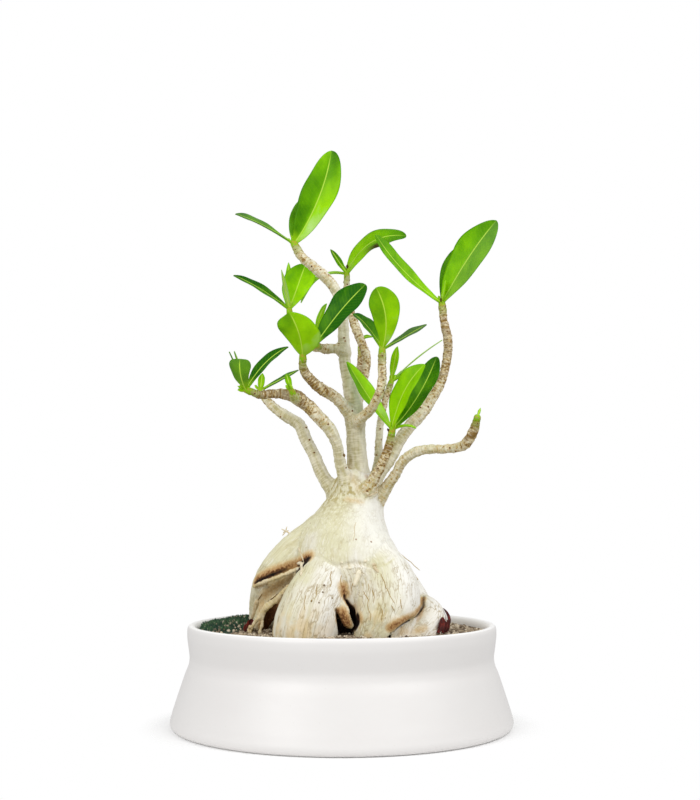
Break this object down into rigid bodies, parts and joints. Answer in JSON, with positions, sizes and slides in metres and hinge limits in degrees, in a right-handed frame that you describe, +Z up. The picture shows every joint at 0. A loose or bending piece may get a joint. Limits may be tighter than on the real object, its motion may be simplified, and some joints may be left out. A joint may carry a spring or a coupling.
{
  "type": "potted desert rose adenium",
  "caption": "Desert rose bonsai: a swollen cream caudex on spreading roots, bare ringed branches tipped with glossy leaf tufts, in a flared white ceramic pot of soil.",
  "frame": {"origin": "the pot's axis on the surface it stands on, which is the bottom centre of the bounding box", "axes": "+Z up along the pot's axis; +X to the right and -Y towards the viewer, seen from the pictured side"},
  "size_m": [0.2168, 0.2168, 0.3681],
  "materials": {
    "ceramic": "satin",
    "soil": "matte, granular",
    "bark": "matte, smooth cream bark",
    "leaf": "satin, waxy"
  },
  "bodies": {
    "root": {"pot": "ceramic", "soil": "soil", "caudex_and_branches": "bark", "leaves_crown": "leaf", "leaves_inner": "leaf", "leaves_frontLeft": "leaf", "leaves_backLeft": "leaf", "leaves_backMid": "leaf", "leaves_backSpur": "leaf", "leaves_right": "leaf", "leaves_frontMid": "leaf", "leaves_lowFront": "leaf", "leaves_lowBack": "leaf", "leaves_rightBare": "leaf", "leaves_leftFront": "leaf", "leaves_leftBack": "leaf", "leaves_leftSpur": "leaf"}
  },
  "joints": []
}
